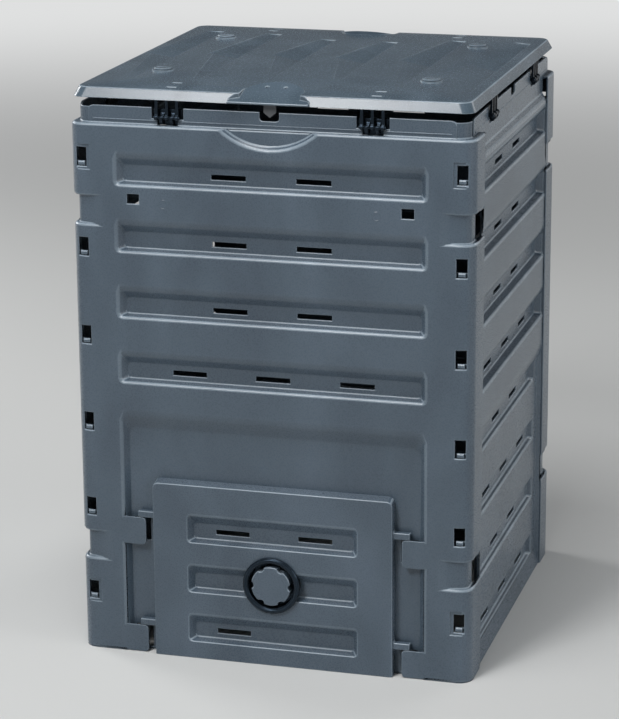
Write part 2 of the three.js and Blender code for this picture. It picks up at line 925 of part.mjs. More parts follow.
function hatchBody() {
  const pairs = [];
  const vents = [];
  hatchVents.forEach((sides, row) => {
    const low = hatchChannelTop - row * hatchChannelPitch;
    const rim = { half: hatchChannelHalf, low, high: low + channelTall };
    const floor = {
      half: hatchChannelBackHalf,
      low: low + channelLedgeRise,
      high: low + channelBackTop,
    };
    pairs.push(
      sunkPair(rim, floor, hatchFace, channelDeep, channelRound, channelRound, hatchThickness),
    );
    sides.forEach((side) => vents.push(vent(side * ventPairPlace, low, hatchFace)));
  });
  const outer = cut(
    loft([hatchRing(0, hatchFace, 0), hatchRing(0, hatchBack, hatchDraft)]),
    pairs.map((pair) => pair.shape),
  );
  const inner = cut(
    loft([
      hatchRing(hatchThickness, hatchFace + hatchThickness, 0),
      hatchRing(hatchThickness, hatchBack + overrun, hatchDraft),
    ]),
    pairs.map((pair) => pair.backing),
  );
  const seat = discAlongY(0, knobHeight, sleeveRadius + fitGap, hatchFace - overrun, hatchBack + overrun);
  return cut(join([cut(outer, [inner]), ...hatchTabs()]), [...vents, seat]);
}

// Knob, its collar and its lock arm

// Ring shape turned about the knob's axis from points of radius and depth
function turnedAboutKnob(points, steps = roundSteps) {
  const profile = points.map(([radius, y]) => new THREE.Vector2(radius, y));
  const geometry = new THREE.LatheGeometry([...profile, profile[0].clone()], steps);
  geometry.translate(0, 0, knobHeight);
  return toSolid(geometry);
}

function knobCollar() {
  const floorFar = hatchFace + sleeveEnd;
  const floorNear = floorFar - sleeveFloor;
  const hole = spindleRadius + spindleGap;
  return turnedAboutKnob([
    [hole, floorFar],
    [hole, floorNear],
    [collarInner, floorNear],
    [collarInner, collarFace + collarRound],
    [collarInner + collarRound, collarFace],
    [collarRadius - collarRound, collarFace],
    [collarRadius, collarFace + collarRound],
    [collarRadius, hatchFace - fitGap],
    [sleeveRadius, hatchFace - fitGap],
    [sleeveRadius, floorFar],
  ]);
}

const knobBack = hatchFace + sleeveEnd - sleeveFloor - knobFloorGap;

function starKnob() {
  const near = collarFace + knobShy;
  const body = discAlongY(0, knobHeight, knobRadius, near, knobBack, 2 * roundSteps);
  const notches = [];
  for (let lobe = 0; lobe < knobLobes; lobe += 1) {
    const angle = (lobe * 2 * Math.PI) / knobLobes;
    const x = knobNotchPlace * Math.cos(angle);
    const z = knobHeight + knobNotchPlace * Math.sin(angle);
    notches.push(
      discAlongY(x, z, knobNotchRadius, near - overrun, knobBack + overrun, smallRoundSteps),
    );
  }
  return cut(body, notches);
}

const armNearFace = frontFieldFloor + wallThickness + armClear;
const armFarFace = armNearFace + armThick;

function spindle() {
  const near = knobBack + jointGap;
  const far = armFarFace + jointGap + clipThick + spindleTail;
  return discAlongY(0, knobHeight, spindleRadius, near, far, smallRoundSteps * 2);
}

function lockArm() {
  const plate = roundedRect(
    -armWide / 2,
    armWide / 2,
    knobHeight,
    knobHeight + armReach,
    fitGap,
    armWide / 2 - fitGap,
    cornerSteps,
  );
  const eye = discAlongY(0, knobHeight, armEyeRadius, armNearFace, armFarFace, smallRoundSteps * 2);
  const hole = discAlongY(
    0,
    knobHeight,
    spindleRadius + spindleGap,
    armNearFace - overrun,
    armFarFace + overrun,
    smallRoundSteps * 2,
  );
  return cut(deepened(plate, armNearFace, armFarFace).add(eye), [hole]);
}

function spindleClip() {
  const near = armFarFace + jointGap;
  const inner = spindleRadius + spindleGap;
  return turnedAboutKnob(
    [
      [inner, near],
      [clipRadius, near],
      [clipRadius, near + clipThick],
      [inner, near + clipThick],
    ],
    smallRoundSteps * 2,
  );
}

// Lid

function lidRing(half, height, round) {
  return roundedRect(-half, half, -half, half, round, round, cornerSteps).map(([x, y]) => [
    x,
    y,
    height,
  ]);
}

// Height of the lid's crown at a distance from the middle
function crownHeight(x, y) {
  const away = Math.max(Math.abs(x), Math.abs(y));
  const steps = [[lidEdgeHalf, lidEdgeHeight], ...lidCrown];
  for (let step = 0; step + 1 < steps.length; step += 1) {
    const [farHalf, farHeight] = steps[step];
    const [nearHalf, nearHeight] = steps[step + 1];
    if (away >= nearHalf) {
      const share = (farHalf - away) / (farHalf - nearHalf);
      return farHeight + share * (nearHeight - farHeight);
    }
  }
  return lidCrown[lidCrown.length - 1][1];
}

function crownSolid(inset) {
  const drop = inset;
  const rims = [
    [lidRimHalf, lidRimHeight],
    [lidEdgeHalf, lidEdgeHeight],
  ];
  const rings = rims.map(([half, height], step) => {
    const low = inset > 0 && step === 0;
    return lidRing(half - inset, low ? height - overrun : height - drop, lidRound - inset);
  });
  lidCrown.forEach(([half, height]) => {
    rings.push(lidRing(half - inset, height - drop, lidRound - inset));
  });
  return loft(rings);
}

// Flute: a wedge that is deepest along its right-hand edge and widest at mid-depth
function flute(place, end, thickness) {
  const middle = fluteStep / 2;
  const stations = [
    [-end - thickness, fluteFrontWide, fluteEndDeep],
    [-middle, fluteMiddleWide, fluteMiddleDeep],
    [middle, fluteStepWide, fluteMiddleDeep],
    [end + thickness, fluteRearWide, fluteEndDeep],
  ];
  return loft(
    stations.map(([y, wide, deep]) => {
      const left = place - wide - thickness;
      const right = place + thickness;
      const roof = lidCrown[lidCrown.length - 1][1] + fluteRoof;
      const leftHeight = crownHeight(place - wide, y) - thickness;
      const rightHeight = crownHeight(place, y) - deep - thickness;
      return [
        [left, y, roof],
        [left, y, leftHeight],
        [right, y, rightHeight],
        [right, y, roof],
      ];
    }),
  );
}

// Height of the grip's plate, which slopes down from its end on the crown to its lip
function gripPlateHeight(y) {
  const share = (-gripPlateEnd - y) / (gripLipReach - gripPlateEnd);
  return gripPlateTop - share * (gripPlateTop - gripLipTop);
}

// Plan of the grip at the front of the lid, rounded on the crown and flared through the skirt
function gripPlan(growth) {
  const radius = gripPlateRadius + growth;
  const half = gripPlateHalf + growth;
  const centre = -gripPlateEnd - gripPlateRadius;
  const bend = Math.acos(half / radius);
  const lipHalf = gripLipHalf + growth;
  const flareStart = -lidEdgeHalf + gripFlareMargin + growth;
  const flareEnd = flareStart - gripFlareReach;
  const side = [
    [half, flareStart],
    [lipHalf - gripFlareBend, flareStart - gripFlareDepth],
    [lipHalf, flareEnd],
    [lipHalf, -gripLipReach - Math.min(growth, 0)],
  ];
  return [
    ...arc(0, centre, radius, bend, Math.PI - bend, gripSteps),
    ...side.map(([x, y]) => [-x, y]),
    ...[...side].reverse(),
  ];
}

// Block that the front grip's plate is cut from; the inset gives the space under the plate
function gripBlock(inset) {
  const foot = inset > 0 ? gripLipBottom - overrun : gripLipBottom;
  return raised(gripPlan(-inset), foot, gripPlateTop + overrun);
}

// Space over the front grip's plate; the growth gives the space over its underside
function gripSpace(growth) {
  const near = -gripLipReach - overrun;
  const far = -gripPlateEnd + overrun;
  const roof = gripPlateTop + 2 * overrun;
  const slope = [
    [near, gripPlateHeight(near) - growth],
    [near, roof],
    [far, roof],
    [far, gripPlateHeight(far) - growth],
  ];
  const reach = gripLipHalf + overrun;
  const column = raised(gripPlan(growth), lidRimHeight - overrun, roof);
  return column.intersect(drawn(slope, -reach, reach));
}

function turnedAbout(solid, quarters) {
  return solid.rotate([0, 0, quarters * 90]);
}

// Bracket under the lid with three lugs that hold a rod. Front and rear ones have pegs that
// stand in the lid's slots; at the sides the flutes leave room for a short plate only.
function hingeBracket(hasPegs) {
  const plateTop = lidEdgeHeight - lidThickness - fitGap;
  const plateLow = plateTop - bracketThick;
  const lugs = lugPlaces.flatMap((place) => {
    const left = hingePlace + place - lugThick / 2;
    const right = left + lugThick;
    const outline = [
      [-bracketNear, plateLow],
      [-bracketNear, plateTop],
      [-bracketEdge, plateTop],
      [-bracketRim, lidRimHeight - stripGap],
      [-lugOuter, lidRimHeight - stripGap],
      [-lugOuter, rodHeight],
      [-lugInner, rodHeight],
      [-lugInner, lugKnee],
      [-bracketKnee, lugKnee + bracketThick],
    ];
    return [
      drawn(outline, left, right),
      discAlongX(-rodOut, rodHeight, lugEye, left, right),
    ];
  });
  const plate = box(
    hingePlace - bracketHalf,
    hingePlace + bracketHalf,
    -bracketEdge,
    hasPegs ? -bracketBack : -bracketShortBack,
    plateLow,
    plateTop,
  );
  const pegs = lugSlotPlaces.map((place) =>
    box(
      hingePlace - lugSlotWide / 2 + fitGap,
      hingePlace + lugSlotWide / 2 - fitGap,
      -place - lugSlotTall / 2 + fitGap,
      -place + lugSlotTall / 2 - fitGap,
      plateLow,
      pegTop,
    ),
  );
  const hole = discAlongX(
    -rodOut,
    rodHeight,
    rodRadius + lugHoleGap,
    hingePlace - rodHalfLength - overrun,
    hingePlace + rodHalfLength + overrun,
  );
  return cut(join([plate, ...lugs, ...(hasPegs ? pegs : [])]), [hole]);
}

function lidBody() {
  const atBothEnds = (solid) => [solid, turnedAbout(solid, 2)];
  const plugPlaces = [-1, 1].flatMap((sideX) =>
    [-1, 1].map((sideY) => [sideX * plugPlaceX, sideY * plugPlaceY]),
  );
  const flutes = (thickness) =>
    flutePlaces.map((place, row) => flute(place, fluteEnds[row], thickness));
  const layer = (inset) => {
    const crown = cut(crownSolid(inset), flutes(inset));
    return cut(join([crown, ...atBothEnds(gripBlock(inset))]), atBothEnds(gripSpace(inset)));
  };
  const bosses = plugPlaces.map(([x, y]) => discAlongZ(x, y, bossRadius, bossRoot, bossTop));
  const outer = join([layer(0), ...bosses]);
  const inner = layer(lidThickness);
  const holes = [];
  const low = lidRimHeight;
  const high = gripPlateTop + overrun;
  plugPlaces.forEach(([x, y]) => {
    holes.push(
      discAlongZ(x, y, plugStemRadius + fitGap, low, high, smallRoundSteps),
    );
  });
  [-1, 1].forEach((sideY) => {
    [-1, 1].forEach((sideX) => {
      const x = sideX * gripHolePlace;
      const y = sideY * gripHoleDepthPlace;
      holes.push(discAlongZ(x, y, gripHoleRadius, low, high, smallRoundSteps));
      lugSlotPlaces.forEach((place) => {
        const slotX = sideX * hingePlace;
        const slotY = sideY * place;
        holes.push(
          box(
            slotX - lugSlotWide / 2,
            slotX + lugSlotWide / 2,
            slotY - lugSlotTall / 2,
            slotY + lugSlotTall / 2,
            low,
            high,
          ),
        );
      });
    });
  });
  return cut(outer, [inner, ...holes]);
}

// Slotted plug in the lid
function lidPlug(x, y) {
  const seat = bossTop + fitGap;
  const top = seat + plugTall;
  const ring = (radius, height) =>
    arc(x, y, radius, 0, 2 * Math.PI, roundSteps)
      .slice(1)
      .map(([px, py]) => [px, py, height]);
  const head = loft([
    ring(plugRadius, seat),
    ring(plugRadius, top - plugRound),
    ring(plugRadius - plugRound, top),
  ]);
  const stem = discAlongZ(x, y, plugStemRadius, seat - plugStemLength, top - plugRound, smallRoundSteps);
  const slot = box(
    x - plugSlotHalf,
    x + plugSlotHalf,
    y - plugSlotWide / 2,
    y + plugSlotWide / 2,
    top - plugSlotDeep,
    top + overrun,
  );
  return cut(head.add(stem), [slot]);
}

// Hinge clip on the inside of the neck, with two cups that reach out through the notch
function hingeClip() {
  const plateFace = neckBack + fitGap;
  const plateBack = plateFace + clipPlate;
  const plate = box(
    hingePlace - clipHalf,
    hingePlace + clipHalf,
    plateFace,
    plateBack,
    shoulderHeight + fitGap,
    clipPlateTop,
  );
  const lipAngle = Math.asin(cupLipRise / cupInner);
  const cup = arc(-rodOut, rodHeight, cupInner, Math.PI - lipAngle, 2 * Math.PI + lipAngle, 8);
  const lipHeight = rodHeight + cupLipRise;
  const outline = [
    [plateFace + fitGap, jawFoot],
    [plateFace + fitGap, lipHeight + jawShoulderRise],
    [neckFace, lipHeight],
    ...cup.slice().reverse(),
    [-jawOuter, lipHeight],
    [-jawOuter, jawFoot + jawShoulderRise],
    [-rodOut, jawFoot],
  ];
  const jaws = [-jawPlace, jawPlace].map((place) => {
    const left = hingePlace + place - jawThick / 2;
    return drawn(outline.slice().reverse(), left, left + jawThick);
  });
  return join([plate, ...jaws]);
}

function hingeRod() {
  return discAlongX(
    -rodOut,
    rodHeight,
    rodRadius,
    hingePlace - rodHalfLength,
    hingePlace + rodHalfLength,
  );
}

// Pointed tongue under the lid that hangs in the latch notch
function latchTongue() {
  const half = tongueWide / 2;
  const outer = tongueInner + tongueThick;
  const footEnd = -tongueInner + tongueFootLength;
  const ceilingAt = (y) => gripPlateHeight(y) - lidThickness - fitGap;
  const top = ceilingAt(footEnd);
  const profile = [
    [-outer, tongueTip],
    [-outer, ceilingAt(-outer)],
    [footEnd, top],
    [footEnd, top - tongueThick],
    [-tongueInner, ceilingAt(-tongueInner) - tongueThick],
    [-tongueInner, tongueTip],
  ];
  const outline = [
    [-half, top],
    [-half, tongueTip + tonguePoint],
    [0, tongueTip],
    [half, tongueTip + tonguePoint],
    [half, top],
  ];
  return drawn(profile, -half, half).intersect(deepened(outline, -outer - overrun, 0));
}

// Nodes

const materials = {
  wall: { color: slate, roughness: 0.55, metalness: 0 },
  lid: { color: slateLid, roughness: 0.5, metalness: 0 },
  trim: { color: black, roughness: 0.25, metalness: 0 },
  tongue: { color: slateGrey, roughness: 0.6, metalness: 0 },
};

const group = new THREE.Group();

function addNode(name, solid, material) {
  const mesh = solid.getMesh();
  const geometry = new THREE.BufferGeometry();
  const positions = new THREE.Float32BufferAttribute(mesh.vertProperties, 3);
  geometry.setAttribute("position", positions);
  geometry.setIndex(Array.from(mesh.triVerts));
  geometry.translate(0, frameShift, 0);
  geometry.computeVertexNormals();
  const node = new THREE.Mesh(geometry, new THREE.MeshStandardMaterial(materials[material]));
  node.name = name;
  group.add(node);
}

addNode("front_wall", cornerWall(true), "wall");
addNode("rear_wall", turnedAbout(cornerWall(false), 2), "wall");
addNode("right_wall", turnedAbout(sideWall(), 1), "wall");
addNode("left_wall", turnedAbout(sideWall(), 3), "wall");
addNode("lid", lidBody(), "lid");

const quarterNames = ["front", "right", "rear", "left"];
quarterNames.forEach((side, quarters) => {
  ["a", "b"].forEach((letter, order) => {
    const place = (solid) => turnedAbout(order === 0 ? mirrored(solid) : solid, quarters);
    addNode(`hinge_clip_${side}_${letter}`, place(hingeClip()), "trim");
    addNode(`hinge_bracket_${side}_${letter}`, place(hingeBracket(quarters % 2 === 0)), "trim");
    addNode(`hinge_rod_${side}_${letter}`, place(hingeRod()), "trim");
  });
});

addNode("latch_tongue_front", latchTongue(), "tongue");
addNode("latch_tongue_rear", turnedAbout(latchTongue(), 2), "tongue");

addNode("lid_plug_front_left", lidPlug(-plugPlaceX, -plugPlaceY), "lid");
addNode("lid_plug_front_right", lidPlug(plugPlaceX, -plugPlaceY), "lid");
addNode("lid_plug_rear_left", lidPlug(-plugPlaceX, plugPlaceY), "lid");
addNode("lid_plug_rear_right", lidPlug(plugPlaceX, plugPlaceY), "lid");

addNode("hatch", hatchBody(), "wall");
addNode("knob_collar", knobCollar(), "trim");
addNode("hatch_knob", starKnob(), "wall");
addNode("knob_spindle", spindle(), "trim");
addNode("lock_arm", lockArm(), "trim");
addNode("spindle_clip", spindleClip(), "trim");

export default group;
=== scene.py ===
import itertools
import math

import bmesh
import bpy
from mathutils import Matrix, Vector


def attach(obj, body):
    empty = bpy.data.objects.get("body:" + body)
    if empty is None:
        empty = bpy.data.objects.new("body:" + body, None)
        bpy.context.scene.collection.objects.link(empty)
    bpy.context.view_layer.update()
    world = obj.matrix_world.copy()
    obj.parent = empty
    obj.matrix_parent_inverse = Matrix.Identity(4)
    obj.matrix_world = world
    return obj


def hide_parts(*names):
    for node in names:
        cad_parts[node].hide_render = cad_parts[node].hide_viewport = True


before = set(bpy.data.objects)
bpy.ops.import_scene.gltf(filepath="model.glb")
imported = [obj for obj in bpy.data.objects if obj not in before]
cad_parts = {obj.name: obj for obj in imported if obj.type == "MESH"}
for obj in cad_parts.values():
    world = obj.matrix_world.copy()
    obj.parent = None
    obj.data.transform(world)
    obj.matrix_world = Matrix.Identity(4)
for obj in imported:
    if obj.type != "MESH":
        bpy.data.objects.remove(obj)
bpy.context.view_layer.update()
mm = 0.001
bodyHalf = 350  # mm, half the width of the square body
bodyMiddle = Vector((0, 5.5, 0))  # mm; the body stands a little behind the origin
print("frame loaded,", len(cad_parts), "nodes")


def linear(hexText):
    tones = [int(hexText[i:i + 2], 16) / 255 for i in (1, 3, 5)]
    tones = [t / 12.92 if t <= 0.04045 else ((t + 0.055) / 1.055) ** 2.4 for t in tones]
    return (*tones, 1.0)


def put(tree, kind, feeds=None, **settings):
    # feeds names sockets by name or number; of a colour Mix, 0 is the factor, 6 and 7 the colours
    made = tree.nodes.new(kind)
    for name, value in settings.items():
        setattr(made, name, value)
    for socket, value in (feeds or {}).items():
        if isinstance(value, bpy.types.NodeSocket):
            tree.links.new(value, made.inputs[socket])
        else:
            made.inputs[socket].default_value = value
    return made


# Materials

wallPlasticLook = {
    "colour": "#505E6B",
    "cloudDark": "#495663",
    "cloudPale": "#576573",
    "cloudSize": 140,  # mm, the slow drift of regrind through the melt
    "cloudStretch": 0.45,  # upright, the way the melt ran
    "cloudWarp": 0.9,
    "darkBelow": 0.3,  # of the cloud's noise
    "paleAbove": 0.72,
    # painted highlight colour for the rounded edges and upward creases
    "edge": "#B2C1CD",
    "edgeHighlightMix": 0.62,
    "edgeHighlightLeast": 0.55,  # share of the painted edge highlight's mix where it is faintest
    "noiseRange": (0.25, 0.75),  # what a noise texture really fills
    "ior": 1.49,
    "roughness": 0.28,
    "roughnessSpread": 0.07,
    "grainSize": 2.2,  # mm; the spark-eroded grain is near 0.5 mm and is drawn coarser to show
    "grainDepth": 0.12,  # mm
    "grainStrength": 0.35,
    "sinkSize": 210,  # mm, the slack waves of a large moulded panel
    "sinkDepth": 0.9,  # mm
    "sinkStrength": 0.5,
}
lidPlasticLook = dict(
    wallPlasticLook,
    colour="#51606C",
    cloudDark="#4A5864",
    cloudPale="#596875",
    cloudSize=110,
    edgeHighlightMix=0.6,
    roughness=0.26,
)
blackTrimLook = {
    "colour": "#11161B",
    # painted highlight colour for the rounded edges
    "edge": "#333E49",
    "shine": "#8FA9C4",  # the gloss of the blued black
    "ior": 1.53,
    "roughness": 0.27,
    "roughnessSpread": 0.12,
    "flowSize": 18,  # mm
    "flowDepth": 0.08,  # mm
    "flowStrength": 0.3,
    "flowRange": (0.3, 0.7),
}
tonguePlasticLook = {
    "colour": "#5D6063",
    "cloud": "#54575B",
    "cloudSize": 12,  # mm
    "ior": 1.49,
    "roughness": 0.62,
    "grainSize": 1.6,  # mm
    "grainDepth": 0.1,  # mm
    "grainStrength": 0.4,
}
floorLook = {
    "colour": "#D3D4D3",
    "far": "#DFE0E0",
    "fadeStart": 2.6,  # m from the bin, where the lit floor starts to pass into the far tone
    "fadeEnd": 7.5,
    "size": 60,  # m
}


def startMaterial(name):
    material = bpy.data.materials.new(name)
    material.use_nodes = True
    tree = material.node_tree
    tree.nodes.clear()
    place = put(tree, "ShaderNodeTexCoord").outputs["Object"]
    return material, tree, place


def roughnessEnds(look):
    spread = look["roughnessSpread"] / 2
    return look["roughness"] - spread, look["roughness"] + spread


def mouldedPolypropylene(name, look):
    # Recycled polypropylene, injection moulded: satin, cloudy where regrind streaks the melt,
    # finely grained from the eroded tool, with a painted highlight on the narrow rounded edges and
    # on creases that face up
    material, tree, place = startMaterial(name)
    low, high = look["noiseRange"]
    smoothest, roughest = roughnessEnds(look)
    drift = put(tree, "ShaderNodeMapping", {
        "Vector": place, "Scale": (1, 1, look["cloudStretch"])}).outputs[0]
    cloud = put(tree, "ShaderNodeTexNoise", {
        "Vector": drift, "Scale": 1 / (look["cloudSize"] * mm), "Detail": 3.0, "Roughness": 0.5,
        "Distortion": look["cloudWarp"]}).outputs[0]
    ramp = put(tree, "ShaderNodeValToRGB", {"Fac": cloud})
    ramp.color_ramp.elements[0].position = look["darkBelow"]
    ramp.color_ramp.elements[0].color = linear(look["cloudDark"])
    ramp.color_ramp.elements[1].position = look["paleAbove"]
    ramp.color_ramp.elements[1].color = linear(look["cloudPale"])
    middle = ramp.color_ramp.elements.new(0.5)
    middle.color = linear(look["colour"])
    grain = put(tree, "ShaderNodeTexNoise", {
        "Vector": place, "Scale": 1 / (look["grainSize"] * mm), "Detail": 2.0,
        "Roughness": 0.6}).outputs[0]
    # painted highlight on the rounded edges and upward creases, made patchy by the cloud noise
    highlightMask = put(tree, "ShaderNodeAttribute", attribute_name="paintedEdgeHighlight").outputs["Fac"]
    patchyHighlight = put(tree, "ShaderNodeMapRange", {
        "Value": cloud, "From Min": low, "From Max": high,
        "To Min": look["edgeHighlightMix"] * look["edgeHighlightLeast"], "To Max": look["edgeHighlightMix"]}).outputs[0]
    highlightShare = put(tree, "ShaderNodeMath", {0: highlightMask, 1: patchyHighlight}, operation="MULTIPLY").outputs[0]
    colour = put(tree, "ShaderNodeMix", {0: highlightShare, 6: ramp.outputs[0], 7: linear(look["edge"])},
                 data_type="RGBA").outputs[2]
    rough = put(tree, "ShaderNodeMapRange", {
        "Value": grain, "From Min": low, "From Max": high,
        "To Min": smoothest, "To Max": roughest}).outputs[0]
    sink = put(tree, "ShaderNodeTexNoise", {
        "Vector": place, "Scale": 1 / (look["sinkSize"] * mm), "Detail": 1.0}).outputs[0]
    waves = put(tree, "ShaderNodeBump", {
        "Height": sink, "Strength": look["sinkStrength"],
        "Distance": look["sinkDepth"] * mm}).outputs[0]
    skin = put(tree, "ShaderNodeBump", {
        "Height": grain, "Strength": look["grainStrength"],
        "Distance": look["grainDepth"] * mm, "Normal": waves}).outputs[0]
    shader = put(tree, "ShaderNodeBsdfPrincipled", {
        "Base Color": colour, "Roughness": rough, "Normal": skin, "IOR": look["ior"]})
    put(tree, "ShaderNodeOutputMaterial", {"Surface": shader.outputs[0]})
    return material


def glossyNylon(name, look):
    # Black glass-filled nylon, injection moulded in a polished tool: a wet, slightly uneven gloss
    material, tree, place = startMaterial(name)
    low, high = look["flowRange"]
    smoothest, roughest = roughnessEnds(look)
    flow = put(tree, "ShaderNodeTexNoise", {
        "Vector": place, "Scale": 1 / (look["flowSize"] * mm), "Detail": 4.0,
        "Roughness": 0.55}).outputs[0]
    # painted highlight on the rounded edges, made patchy by the flow noise
    highlightMask = put(tree, "ShaderNodeAttribute", attribute_name="paintedEdgeHighlight").outputs["Fac"]
    highlightShare = put(tree, "ShaderNodeMath", {0: highlightMask, 1: flow}, operation="MULTIPLY").outputs[0]
    colour = put(tree, "ShaderNodeMix", {0: highlightShare, 6: linear(look["colour"]),
                                         7: linear(look["edge"])}, data_type="RGBA").outputs[2]
    rough = put(tree, "ShaderNodeMapRange", {
        "Value": flow, "From Min": low, "From Max": high,
        "To Min": smoothest, "To Max": roughest}).outputs[0]
    skin = put(tree, "ShaderNodeBump", {
        "Height": flow, "Strength": look["flowStrength"],
        "Distance": look["flowDepth"] * mm}).outputs[0]
    shader = put(tree, "ShaderNodeBsdfPrincipled", {
        "Base Color": colour, "Roughness": rough, "Normal": skin, "IOR": look["ior"],
        "Specular Tint": linear(look["shine"])})
    put(tree, "ShaderNodeOutputMaterial", {"Surface": shader.outputs[0]})
    return material


def mattPolypropylene(name, look):
    # Natural grey polypropylene, moulded in a blasted tool: dull, grained and a little blotched
    material, tree, place = startMaterial(name)
    grain = put(tree, "ShaderNodeTexNoise", {
        "Vector": place, "Scale": 1 / (look["grainSize"] * mm), "Detail": 2.0}).outputs[0]
    blotch = put(tree, "ShaderNodeTexNoise", {
        "Vector": place, "Scale": 1 / (look["cloudSize"] * mm), "Detail": 2.0}).outputs[0]
    colour = put(tree, "ShaderNodeMix", {0: blotch, 6: linear(look["cloud"]),
                                         7: linear(look["colour"])}, data_type="RGBA").outputs[2]
    skin = put(tree, "ShaderNodeBump", {
        "Height": grain, "Strength": look["grainStrength"],
        "Distance": look["grainDepth"] * mm}).outputs[0]
    shader = put(tree, "ShaderNodeBsdfPrincipled", {
        "Base Color": colour, "Roughness": look["roughness"], "Normal": skin,
        "IOR": look["ior"]})
    put(tree, "ShaderNodeOutputMaterial", {"Surface": shader.outputs[0]})
    return material


def studioFloor(name, look):
    # Painted studio floor: pale and matt. Far off it passes into one even tone
    material, tree, place = startMaterial(name)
    away = put(tree, "ShaderNodeVectorMath", {0: place}, operation="LENGTH").outputs["Value"]
    fade = put(tree, "ShaderNodeMapRange", {
        "Value": away, "From Min": look["fadeStart"], "From Max": look["fadeEnd"]},
        interpolation_type="SMOOTHSTEP").outputs[0]
    rays = put(tree, "ShaderNodeLightPath").outputs
    seen = put(tree, "ShaderNodeMath", {0: rays["Is Camera Ray"], 1: rays["Is Glossy Ray"]},
               operation="MAXIMUM").outputs[0]
    seen = put(tree, "ShaderNodeMath", {0: seen, 1: rays["Is Transmission Ray"]},
               operation="MAXIMUM").outputs[0]
    share = put(tree, "ShaderNodeMath", {0: fade, 1: seen}, operation="MULTIPLY").outputs[0]
    paint = put(tree, "ShaderNodeBsdfDiffuse", {"Color": linear(look["colour"])})
    tone = put(tree, "ShaderNodeEmission", {"Color": linear(look["far"]), "Strength": 1.0})
    mixed = put(tree, "ShaderNodeMixShader", {
        0: share, 1: paint.outputs[0], 2: tone.outputs[0]})
    put(tree, "ShaderNodeOutputMaterial", {"Surface": mixed.outputs[0]})
    return material


finishes = {
    "wall_plastic": mouldedPolypropylene("mouldedRecycledPolypropylene", wallPlasticLook),
    "lid_plastic": mouldedPolypropylene("mouldedLidPolypropylene", lidPlasticLook),
    "black_trim": glossyNylon("glossyBlackNylon", blackTrimLook),
    "tongue_plastic": mattPolypropylene("mattGreyPolypropylene", tonguePlasticLook),
}
floorPaint = studioFloor("paleFloorPaint", floorLook)
print("materials made:", len(bpy.data.materials))


# Moulded pieces: merged copies of the CAD meshes whose edges get a moulder's radii

mouldRadii = {
    "crisp": 4.0,  # mm, outward edges near a right angle
    "soft": 9.0,  # mm, the shallow outward edges of channels and fields
    "corner": 2.2,  # mm, inward edges near a right angle
    "crease": 2.6,  # mm, the shallow inward ones
    "post": 0.7,  # mm, short edges that stand across the wall at the corners of an opening
    "postLength": 6.5,  # mm
    "postSquare": 0.75,  # how square the faces at a post's ends lie to it
    "least": 0.08,  # mm, below which an edge gets no radius
    "sharpAngle": 40,  # degrees, from which such an edge is shaded sharp
    "crispAngle": 50,  # degrees, from which an outward edge is crisp
    "cornerAngle": 70,  # degrees, from which an inward edge is a corner
    "flatAngle": 9,  # degrees, below which an edge is left alone
    "arcAngle": 26,  # degrees, up to which narrow strips are parts of an arc
    "arcStrip": 14,  # mm
    "runOnAngle": 28,  # degrees, up to which one edge runs on as another
    "reachShare": 0.34,  # share of the narrower neighbour that a radius may take
    "evenWithin": 1e-4,  # difference of two weights that counts as none
    "segments": 3,
    "weld": 0.02,  # mm
    "coplanar": 0.4,  # degrees
}
# Painted highlight on the faces that the bevel makes
edgeHighlightPaint = {
    "broad": 4.2,  # mm, strips as broad as this get hardly any painted highlight
    "fades": 1.6,  # mm, over which the painted highlight comes in
    "least": 0.12,
    "upright": 0.3,  # share of the painted highlight on edges that don't face up
    "upGain": 2.5,
    "creaseHighlightSlope": 0.2,  # how far a crease has to face up to get a painted highlight
    "creaseHighlight": 0.85,
}


def reach(face, edge):
    start = edge.verts[0].co
    along = (edge.verts[1].co - start).normalized()
    offsets = [v.co - start for v in face.verts]
    return max((o - along * o.dot(along)).length for o in offsets)


def standsAcross(edge, square):
    # True where the faces at both ends of an edge lie square to it
    along = (edge.verts[1].co - edge.verts[0].co).normalized()
    ends = [face for v in edge.verts for face in v.link_faces if face not in edge.link_faces]
    return all(abs(face.normal.dot(along)) > square for face in ends)


def wantedRadius(edge, turn, radii):
    short = edge.calc_length() < radii["postLength"] * mm
    if short and standsAcross(edge, radii["postSquare"]):
        return radii["post"]
    if edge.is_convex:
        return radii["crisp"] if turn >= radii["crispAngle"] else radii["soft"]
    return radii["corner"] if turn >= radii["cornerAngle"] else radii["crease"]


def evenRadii(bm, weights, radii):
    # Where one rounded edge runs on as another, both get the smaller radius: otherwise the
    # two new rims meet far off the corner
    runsOn = -math.cos(math.radians(radii["runOnAngle"]))
    waiting = list(bm.verts)
    while waiting:
        corner = waiting.pop()
        marked = [edge for edge in corner.link_edges if edge[weights] > 0]
        for first, second in itertools.combinations(marked, 2):
            ways = [(edge.other_vert(corner).co - corner.co).normalized()
                    for edge in (first, second)]
            step = abs(first[weights] - second[weights])
            if ways[0].dot(ways[1]) > runsOn or step < radii["evenWithin"]:
                continue
            wider = max(first, second, key=lambda edge: edge[weights])
            wider[weights] = min(first[weights], second[weights])
            waiting += wider.verts


def markRadii(bm, radii):
    weights = bm.edges.layers.float.new("bevel_weight_edge")
    widest = max(radii["crisp"], radii["soft"]) * mm
    for edge in bm.edges:
        if len(edge.link_faces) != 2 or edge.calc_length() < radii["weld"] * mm:
            continue
        turn = math.degrees(edge.calc_face_angle(0))
        if turn < radii["flatAngle"]:
            continue
        narrow = min(reach(face, edge) for face in edge.link_faces)
        if turn < radii["arcAngle"] and narrow < radii["arcStrip"] * mm:
            continue
        width = min(wantedRadius(edge, turn, radii) * mm, narrow * radii["reachShare"])
        if width > radii["least"] * mm:
            edge[weights] = width / widest
        elif turn > radii["sharpAngle"]:
            edge.smooth = False
    evenRadii(bm, weights, radii)
    return widest


